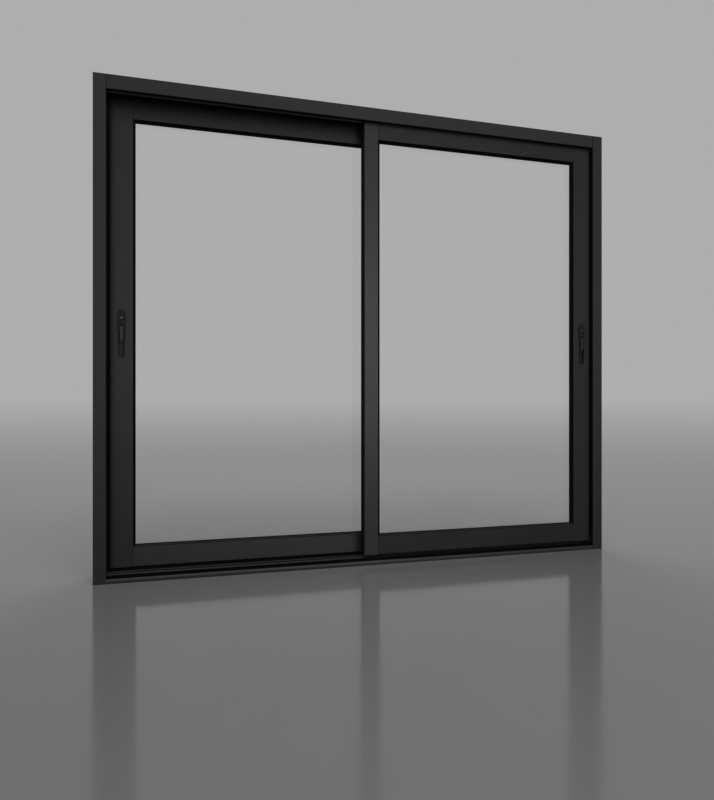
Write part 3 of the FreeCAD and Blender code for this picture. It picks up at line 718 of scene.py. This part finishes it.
def sash_screws(side, outward):
    """Through the outer stile into both rails, and through the interlock's sheet."""
    low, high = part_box(f"{side}_outer_stile")
    edge = high.x if outward > 0 else low.x
    middle = (low.y + high.y) / 2
    screws = []
    for rail, share in (("bottom_rail", INNER_SHARE), ("top_rail", 1 - INNER_SHARE)):
        rail_low, rail_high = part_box(f"{side}_{rail}")
        level = rail_low.z * (1 - share) + rail_high.z * share
        for spread in (-STILE_SCREW_SPREAD, STILE_SCREW_SPREAD):
            screws.append(((edge, middle + spread, level), (outward, 0, 0)))
    strip_low, strip_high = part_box(f"{side}_interlock")
    strip_middle = (strip_low + strip_high) / 2
    across = strip_middle.x - outward * INTERLOCK_SHIFT
    face = strip_low.y + INTERLOCK_SHEET if outward > 0 else strip_high.y - INTERLOCK_SHEET
    count = int((strip_high.z - strip_low.z) / INTERLOCK_SCREW_STEP)
    for i in range(count + 1):
        level = strip_middle.z + (i - count / 2) * INTERLOCK_SCREW_STEP
        screws.append(((across, face, level), (0, outward, 0)))
    return screws


# %% Drive all the screws
drive = screw_tree()
screw_jobs = {
    "frame": frame_screws(),
    "left_sash": sash_screws("left", -1),
    "right_sash": sash_screws("right", 1),
}
for body, screws in screw_jobs.items():
    holder = points_facing(f"{body}_screw_points", screws)
    piece = grown(holder, drive, {"Head": screw_pattern}, f"{body}_screws")
    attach(piece, body)
    print(piece.name, len(screws), "screws", len(piece.data.polygons), "faces")
bpy.data.objects.remove(screw_pattern)

# %% [markdown]
# Pile strips keep the draught out: rows of short fibres in the sashes' grooves, which reach the guide
# strips of the jambs and the head, and along one interlock. A tree sets fibres along a line at a fixed
# spacing, spreads them over the strip's width and tilts each a little, all from fixed seeds.

# %% A tree that grows pile
PILE_FIBRE = 0.00016
PILE_STEP = 0.0007
PILE_WIDTH = 0.003
PILE_TILT = 0.16
FIBRE_SIDES = 3
FIBRE_TAPER = 0.4
PLACE_SEED = 11
TILT_SEED = 23


def pile_tree(finish):
    tree = new_tree("grow_pile", {
        "Step": "NodeSocketFloat", "Length": "NodeSocketFloat", "Fibre": "NodeSocketFloat",
        "Towards": "NodeSocketVector", "Spread": "NodeSocketVector", "Tilt": "NodeSocketFloat",
    })
    entry = add_node(tree, "NodeGroupInput", {}, {})
    size = entry.outputs
    line = add_node(tree, "GeometryNodeMeshToCurve", {}, {"Mesh": size["Mesh"]})
    row = add_node(tree, "GeometryNodeCurveToPoints", {"mode": "LENGTH"}, {
        "Curve": line.outputs[0], "Length": size["Step"],
    })
    place = add_node(tree, "FunctionNodeRandomValue", {"data_type": "FLOAT"}, {
        2: -0.5, 3: 0.5, "Seed": PLACE_SEED,
    })
    aside = add_node(tree, "ShaderNodeVectorMath", {"operation": "SCALE"}, {
        0: size["Spread"], "Scale": place.outputs[1],
    })
    field = add_node(tree, "GeometryNodeSetPosition", {}, {
        "Geometry": row.outputs[0], "Offset": aside.outputs[0],
    })
    least = add_node(tree, "ShaderNodeMath", {"operation": "MULTIPLY"}, {0: size["Tilt"], 1: -1.0})
    low = add_node(tree, "ShaderNodeCombineXYZ", {}, {"X": least.outputs[0], "Y": least.outputs[0]})
    high = add_node(tree, "ShaderNodeCombineXYZ", {}, {"X": size["Tilt"], "Y": size["Tilt"]})
    lean = add_node(tree, "FunctionNodeRandomValue", {"data_type": "FLOAT_VECTOR"}, {
        0: low.outputs[0], 1: high.outputs[0], "Seed": TILT_SEED,
    })
    upright = add_node(tree, "FunctionNodeAlignRotationToVector", {"axis": "Z"}, {
        "Vector": size["Towards"],
    })
    leaning = add_node(tree, "FunctionNodeRotateRotation", {"rotation_space": "LOCAL"}, {
        0: upright.outputs[0], 1: lean.outputs[0],
    })
    tip = add_node(tree, "ShaderNodeMath", {"operation": "MULTIPLY"}, {0: size["Fibre"], 1: FIBRE_TAPER})
    fibre = add_node(tree, "GeometryNodeMeshCone", {"fill_type": "NONE"}, {
        "Vertices": FIBRE_SIDES,
        "Radius Top": tip.outputs[0],
        "Radius Bottom": size["Fibre"],
        "Depth": size["Length"],
    })
    pile = add_node(tree, "GeometryNodeInstanceOnPoints", {}, {
        "Points": field.outputs[0],
        "Instance": fibre.outputs["Mesh"],
        "Rotation": leaning.outputs[0],
    })
    close_tree(tree, pile.outputs[0], finish)
    return tree


# %% Pile finish
def pile_fibre(name):
    shader, surface = finish_named(name, Sheen_Weight=0.3)
    tuft = shader.noise(size=0.004, detail=3)
    shader.feed(surface, {
        "Base Color": shader.mix(tuft, grey(0.012), grey(0.03)),
        "Roughness": 0.8 + 0.15 * tuft,
    })
    return shader.owner


# %% Where the pile runs
GROOVE_HALF = 0.007
GUIDE_HALF = 0.0015
PILE_TIP_GAP = 0.0001
PILE_SETBACK = 0.003
PILE_END_GAP = 0.045
GROOVE_PILE = GROOVE_HALF - GUIDE_HALF - PILE_TIP_GAP


def pile_lines(side, outward):
    """Start, end, direction, spread and fibre length of each strip on one sash."""
    low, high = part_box(f"{side}_outer_stile")
    middle = (low.y + high.y) / 2
    edge = (high.x if outward > 0 else low.x) - outward * PILE_SETBACK
    rail_low, rail_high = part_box(f"{side}_top_rail")
    crown = rail_high.z - PILE_SETBACK
    lines = []
    for way in (-1, 1):
        wall = middle - way * GROOVE_HALF
        lines.append((
            (edge, wall, low.z + PILE_END_GAP), (edge, wall, high.z - PILE_END_GAP),
            (0, way, 0), (PILE_WIDTH, 0, 0), GROOVE_PILE,
        ))
        lines.append((
            (rail_low.x, wall, crown), (rail_high.x, wall, crown),
            (0, way, 0), (0, 0, PILE_WIDTH), GROOVE_PILE,
        ))
    if side == "right":
        strip_low, strip_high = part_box("right_interlock")
        depth = strip_high.y - PILE_WIDTH / 2
        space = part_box("left_interlock")[0].x - strip_high.x
        lines.append((
            (strip_high.x, depth, strip_low.z), (strip_high.x, depth, strip_high.z),
            (1, 0, 0), (0, PILE_WIDTH, 0), space - PILE_TIP_GAP,
        ))
    return lines


# %% Grow the pile
pile_finish = pile_fibre("grey_pile_fibre")
grow = pile_tree(pile_finish)
for side, outward in (("left", -1), ("right", 1)):
    strips = []
    for start, end, towards, spread, length in pile_lines(side, outward):
        mesh = bpy.data.meshes.new("pile_line")
        mesh.from_pydata([start, end], [(0, 1)], [])
        sizes = {
            "Step": PILE_STEP, "Length": length, "Fibre": PILE_FIBRE,
            "Towards": towards, "Spread": spread, "Tilt": PILE_TILT,
        }
        strips.append(grown(bpy.data.objects.new("pile_line", mesh), grow, sizes, "pile_strip"))
    print(side, len(strips), "strips")
    joined = bmesh.new()
    for strip in strips:
        joined.from_mesh(strip.data)
    mesh = bpy.data.meshes.new(f"{side}_pile_strips")
    joined.to_mesh(mesh)
    joined.free()
    mesh.materials.append(pile_finish)
    for strip in strips:
        bpy.data.objects.remove(strip)
    piece = bpy.data.objects.new(f"{side}_pile_strips", mesh)
    bpy.context.scene.collection.objects.link(piece)
    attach(piece, f"{side}_sash")
    print(piece.name, len(mesh.polygons), "faces")

# %% [markdown]
# The studio is plain: a wide smooth floor that mirrors the frame softly and runs out to a pale grey
# surround. The floor takes its far tone from the surround, because a smooth floor seen at a low angle
# is nearly a mirror, and it is smoothest far out, so that no line shows where it ends. The surround
# shows to the camera, in mirrors and through glass, and gives less light than that to matte surfaces,
# so that the lamps still draw the edges.

# %% Floor
FLOOR_HALF = 400.0
FLOOR_DROP = 0.0005


def floor_sheen(name):
    shader, surface = finish_named(name, IOR=1.47)
    drift = shader.noise(size=1.5, detail=2)
    reach = shader.add("ShaderNodeVectorMath", {"operation": "LENGTH"}, {0: shader.place()}, "Value")
    far = shader.between(2.0, 9.0, reach)
    shader.feed(surface, {
        "Base Color": shader.mix(drift, grey(0.236), grey(0.246)),
        "Roughness": (0.10 + 0.02 * drift) * (1 - far),
    })
    return shader.owner


floor_mesh = bpy.data.meshes.new("studio_floor")
floor_corners = [(x * FLOOR_HALF, y * FLOOR_HALF, 0) for x, y in ((-1, -1), (1, -1), (1, 1), (-1, 1))]
floor_mesh.from_pydata(floor_corners, [], [(0, 1, 2, 3)])
floor_mesh.materials.append(floor_sheen("studio_floor"))
floor = bpy.data.objects.new("studio_floor", floor_mesh)
floor.location.z = -FLOOR_DROP
bpy.context.scene.collection.objects.link(floor)
print("floor half width", FLOOR_HALF)

# %% Surround
SURROUND = 0.423
SURROUND_FILL = 0.10

world = bpy.data.worlds.new("studio_surround")
bpy.context.scene.world = world
air = Shader(world)
rays = air.nodes.new("ShaderNodeLightPath").outputs
to_camera, in_mirrors, through_glass = (
    Wire(air, rays[f"Is {kind} Ray"]) for kind in ("Camera", "Glossy", "Transmission")
)
seen = to_camera + in_mirrors + through_glass
shown = air.between(0.0, 1.0, seen)
level = SURROUND_FILL + (SURROUND - SURROUND_FILL) * shown
air.feed(air.nodes["Background"], {"Color": (1, 1, 1, 1), "Strength": level})
print("surround", SURROUND, "fill", SURROUND_FILL)

# %% [markdown]
# Soft boxes light the window. The key is a large box high in front, so the head throws a long
# soft shadow on the sashes' top rails, and its twin behind keeps the far side readable. Weaker panels
# at eye level give the front and the back of the profiles their sheen. A lamp that mirrors in glass is
# kept out of the picture in a studio too, so the large boxes stay out of reflections, and the panels
# light the profiles, the pulls and the front head guide, but no glass, floor, track or other black
# plastic.

# %% Soft boxes
def soft_box(name, place, aim, size, watts, mirrored):
    lamp = bpy.data.lights.new(name, "AREA")
    lamp.size = size
    lamp.energy = watts
    holder = bpy.data.objects.new(name, lamp)
    holder.location = place
    holder.rotation_euler = (Vector(aim) - Vector(place)).to_track_quat("-Z", "Y").to_euler()
    holder.visible_camera = False
    holder.visible_transmission = False
    holder.visible_glossy = mirrored
    bpy.context.scene.collection.objects.link(holder)
    print(name, watts, "W")
    return holder


soft_box(
    "key_soft_box", place=(-0.3, -2.4, 3.4), aim=(0.0, 0.0, 0.8), size=2.4, watts=76.0, mirrored=False,
)
soft_box(
    "back_soft_box", place=(0.7, 2.4, 3.3), aim=(0.0, 0.0, 0.8), size=2.4, watts=50.0, mirrored=False,
)


# %% What the panels light
def panel_lights(pieces, name, *boxes):
    """Keep the light of some boxes to some pieces, held in one collection."""
    lit = bpy.data.collections.new(name)
    for piece in pieces:
        lit.objects.link(piece)
    for box in boxes:
        box.light_linking.receiver_collection = lit


UNLIT_SLOTS = ("clear_glass", "track_aluminium", "black_plastic")
profiles = [piece for node, piece in frame["nodes"].items() if SLOT_OF[node] not in UNLIT_SLOTS]
profiles.append(frame["nodes"][LIT_EDGE_GUIDE])
sheen_panel = soft_box(
    "sheen_panel", place=(0.67, -2.2, 0.95), aim=(0.0, 0.0, 0.75), size=1.0, watts=22.0, mirrored=True,
)
left_panel = soft_box(
    "left_panel", place=(-0.95, -2.2, 0.95), aim=(-0.85, 0.0, 0.75), size=1.0, watts=4.0, mirrored=True,
)
rear_panel = soft_box(
    "rear_panel", place=(-0.5, 2.4, 1.2), aim=(0.0, 0.0, 0.75), size=1.4, watts=34.0, mirrored=True,
)
panel_lights(profiles, "lit_by_sheen_panels", sheen_panel, left_panel, rear_panel)

# %% [markdown]
# The jambs' outer faces look past all of these, so each gets a side panel of its own, a little behind
# the window so that the front keeps its light.

# %% Side panels
SIDE_PANEL_OUT = 2.9
JAMB_OUT = 0.9

for side, way in (("left", -1), ("right", 1)):
    outer_pieces = [frame["nodes"][f"{side}_jamb"], bpy.data.objects["frame_screws"]]
    side_panel = soft_box(
        f"{side}_side_panel", place=(way * SIDE_PANEL_OUT, 0.5, 1.4), aim=(way * JAMB_OUT, 0.0, 0.78),
        size=1.6, watts=34.0, mirrored=True,
    )
    panel_lights(outer_pieces, f"lit_by_{side}_panel", side_panel)

# %% View settings
bpy.context.scene.view_settings.view_transform = "Standard"
